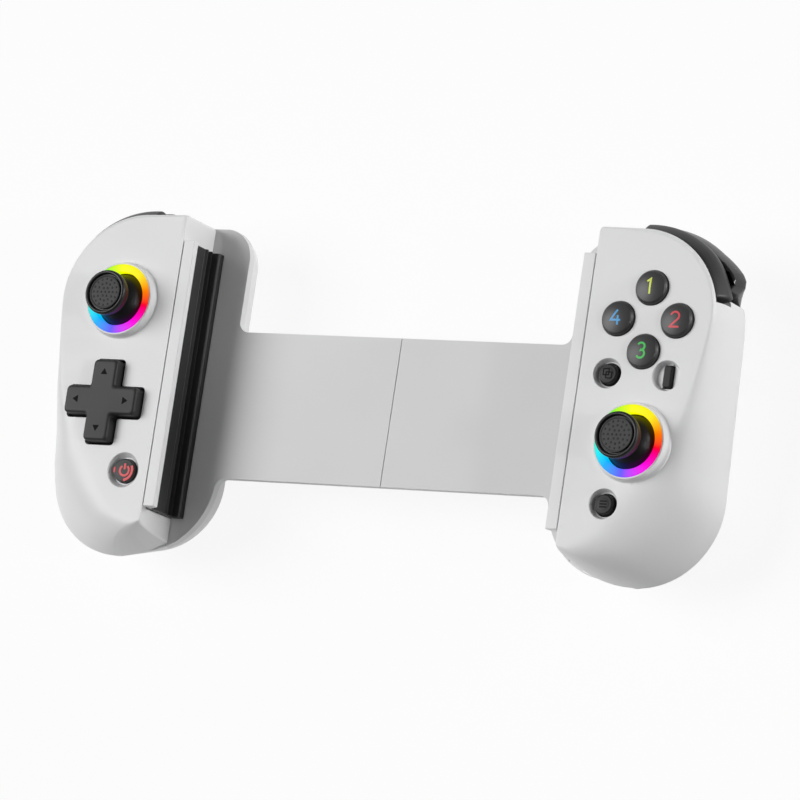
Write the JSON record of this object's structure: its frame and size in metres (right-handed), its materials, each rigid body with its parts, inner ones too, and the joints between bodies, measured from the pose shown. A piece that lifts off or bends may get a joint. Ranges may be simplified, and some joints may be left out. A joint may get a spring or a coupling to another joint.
{
  "type": "mobile game controller",
  "caption": "Telescopic game controller with two grips on a sliding bridge that clamps a phone, with tilting sticks, a direction pad, buttons, bumpers and triggers.",
  "frame": {"origin": "on the resting surface, under the middle of the closed controller", "axes": "+X from the left grip to the right grip along the pull, +Y towards the bumpers and triggers, +Z out of the face towards the player"},
  "size_m": [0.2164, 0.101, 0.0455],
  "materials": {
    "white_shell": "satin white moulded plastic",
    "bridge_plastic": "fine matt pale grey plastic",
    "black_rubber": "ribbed black silicone rubber",
    "grey_rubber": "plain grey silicone rubber",
    "board": "green solder resist",
    "battery_wrap": "silver pouch film",
    "light_ring": "translucent diffuser lit in changing colours",
    "steel": "plated steel",
    "aluminium": "plain rolled sheet",
    "black_plastic": "matt black moulding",
    "stick_rubber": "black moulding with a dotted top",
    "dpad_plastic": "matt charcoal plastic",
    "power_plastic": "dark grey plastic with a red lit mark",
    "key_plastic": "matt dark grey plastic",
    "gloss_black": "gloss black plastic",
    "button_plastic": "satin black plastic",
    "cable_film": "amber polyimide film"
  },
  "bodies": {
    "left_grip": {"left_front_shell": "white_shell", "left_rear_shell": "white_shell", "left_clamp_rail": "white_shell", "left_rubber_pad": "black_rubber", "left_deck": "bridge_plastic", "left_tray": "bridge_plastic", "left_circuit_board": "board", "battery": "battery_wrap", "left_light_ring": "light_ring", "left_stick_housing": "steel", "dpad_bracket": "black_plastic", "dpad_membrane": "grey_rubber", "left_switches": "black_plastic", "left_trigger_pin": "steel", "left_shell_screws": "steel", "left_trigger_spring": "steel", "bridge_springs": "steel", "flex_cable": "cable_film"},
    "right_grip": {"right_front_shell": "white_shell", "right_rear_shell": "white_shell", "right_clamp_rail": "white_shell", "right_rubber_pad": "black_rubber", "right_deck": "bridge_plastic", "right_tray": "bridge_plastic", "slider_plate": "aluminium", "slider_screws": "steel", "right_circuit_board": "board", "right_light_ring": "light_ring", "right_stick_housing": "steel", "button_membrane": "grey_rubber", "right_switches": "black_plastic", "right_trigger_pin": "steel", "right_shell_screws": "steel", "charge_socket": "steel", "right_trigger_spring": "steel"},
    "dpad_rocker": {"dpad_rocker": "steel"},
    "dpad_cross": {"dpad_cross": "dpad_plastic"},
    "power_button": {"power_button": "power_plastic"},
    "left_stick_carrier": {"left_stick_carrier": "black_plastic"},
    "left_stick_yoke": {"left_stick_yoke": "steel"},
    "left_stick": {"left_stick_shaft": "steel", "left_stick_cap": "stick_rubber"},
    "left_bumper": {"left_bumper": "key_plastic"},
    "left_trigger": {"left_trigger": "gloss_black"},
    "right_stick_carrier": {"right_stick_carrier": "black_plastic"},
    "right_stick_yoke": {"right_stick_yoke": "steel"},
    "right_stick": {"right_stick_shaft": "steel", "right_stick_cap": "stick_rubber"},
    "right_bumper": {"right_bumper": "key_plastic"},
    "right_trigger": {"right_trigger": "gloss_black"},
    "top_button": {"top_button": "button_plastic"},
    "left_button": {"left_button": "button_plastic"},
    "right_button": {"right_button": "button_plastic"},
    "bottom_button": {"bottom_button": "button_plastic"},
    "view_button": {"view_button": "button_plastic"},
    "mode_button": {"mode_button": "button_plastic"},
    "menu_button": {"menu_button": "button_plastic"}
  },
  "joints": [
    {"name": "bridge_pull", "type": "slide", "parent": "left_grip", "child": "right_grip", "axis": [1, 0, 0], "range_m": [0, 0.06], "stiffness_N_per_m": 40, "springref_m": -0.08, "deforming": ["bridge_springs", "flex_cable"]},
    {"name": "left_stick_click", "type": "slide", "parent": "left_grip", "child": "left_stick_carrier", "axis": [0, 0, -1], "range_m": [0, 0.00045], "stiffness_N_per_m": 900, "springref_m": -0.0005},
    {"name": "left_stick_pitch", "type": "hinge", "parent": "left_stick_carrier", "child": "left_stick_yoke", "pos_m": [-0.08406, 0.02126, 0.032], "axis": [1, 0, 0], "range_deg": [-17, 17], "stiffness_Nm_per_rad": 0.03},
    {"name": "left_stick_roll", "type": "hinge", "parent": "left_stick_yoke", "child": "left_stick", "pos_m": [-0.08406, 0.02126, 0.032], "axis": [0, 1, 0], "range_deg": [-17, 17], "stiffness_Nm_per_rad": 0.03},
    {"name": "left_bumper_press", "type": "hinge", "parent": "left_grip", "child": "left_bumper", "pos_m": [-0.0815, 0.043, 0.027], "axis": [0, 0, 1], "range_deg": [0, 3], "stiffness_Nm_per_rad": 0.6, "springref_deg": -1.72},
    {"name": "left_trigger_press", "type": "hinge", "parent": "left_grip", "child": "left_trigger", "pos_m": [-0.0815, 0.043, 0.027], "axis": [0, 0, 1], "range_deg": [0, 7], "stiffness_Nm_per_rad": 0.35, "springref_deg": -1.72, "deforming": ["left_trigger_spring"]},
    {"name": "right_stick_click", "type": "slide", "parent": "right_grip", "child": "right_stick_carrier", "axis": [0, 0, -1], "range_m": [0, 0.00045], "stiffness_N_per_m": 900, "springref_m": -0.0005},
    {"name": "right_stick_pitch", "type": "hinge", "parent": "right_stick_carrier", "child": "right_stick_yoke", "pos_m": [0.08577, -0.01331, 0.032], "axis": [1, 0, 0], "range_deg": [-17, 17], "stiffness_Nm_per_rad": 0.03},
    {"name": "right_stick_roll", "type": "hinge", "parent": "right_stick_yoke", "child": "right_stick", "pos_m": [0.08577, -0.01331, 0.032], "axis": [0, 1, 0], "range_deg": [-17, 17], "stiffness_Nm_per_rad": 0.03},
    {"name": "right_bumper_press", "type": "hinge", "parent": "right_grip", "child": "right_bumper", "pos_m": [0.0815, 0.043, 0.027], "axis": [0, 0, -1], "range_deg": [0, 3], "stiffness_Nm_per_rad": 0.6, "springref_deg": -1.72},
    {"name": "right_trigger_press", "type": "hinge", "parent": "right_grip", "child": "right_trigger", "pos_m": [0.0815, 0.043, 0.027], "axis": [0, 0, -1], "range_deg": [0, 7], "stiffness_Nm_per_rad": 0.35, "springref_deg": -1.72, "deforming": ["right_trigger_spring"]},
    {"name": "dpad_pitch", "type": "hinge", "parent": "left_grip", "child": "dpad_rocker", "pos_m": [-0.0845, -0.0089, 0.031], "axis": [1, 0, 0], "range_deg": [-6, 6], "stiffness_Nm_per_rad": 0.05},
    {"name": "dpad_roll", "type": "hinge", "parent": "dpad_rocker", "child": "dpad_cross", "pos_m": [-0.0845, -0.0089, 0.031], "axis": [0, 1, 0], "range_deg": [-6, 6], "stiffness_Nm_per_rad": 0.05},
    {"name": "power_button_press", "type": "slide", "parent": "left_grip", "child": "power_button", "axis": [0, 0, -1], "range_m": [0, 0.001], "stiffness_N_per_m": 300, "springref_m": -0.0005},
    {"name": "top_button_press", "type": "slide", "parent": "right_grip", "child": "top_button", "axis": [0, 0, -1], "range_m": [0, 0.0015], "stiffness_N_per_m": 300, "springref_m": -0.0005},
    {"name": "left_button_press", "type": "slide", "parent": "right_grip", "child": "left_button", "axis": [0, 0, -1], "range_m": [0, 0.0015], "stiffness_N_per_m": 300, "springref_m": -0.0005},
    {"name": "right_button_press", "type": "slide", "parent": "right_grip", "child": "right_button", "axis": [0, 0, -1], "range_m": [0, 0.0015], "stiffness_N_per_m": 300, "springref_m": -0.0005},
    {"name": "bottom_button_press", "type": "slide", "parent": "right_grip", "child": "bottom_button", "axis": [0, 0, -1], "range_m": [0, 0.0015], "stiffness_N_per_m": 300, "springref_m": -0.0005},
    {"name": "view_button_press", "type": "slide", "parent": "right_grip", "child": "view_button", "axis": [0, 0, -1], "range_m": [0, 0.001], "stiffness_N_per_m": 300, "springref_m": -0.0005},
    {"name": "mode_button_press", "type": "slide", "parent": "right_grip", "child": "mode_button", "axis": [0, 0, -1], "range_m": [0, 0.001], "stiffness_N_per_m": 300, "springref_m": -0.0005},
    {"name": "menu_button_press", "type": "slide", "parent": "right_grip", "child": "menu_button", "axis": [0, 0, -1], "range_m": [0, 0.001], "stiffness_N_per_m": 300, "springref_m": -0.0005}
  ]
}
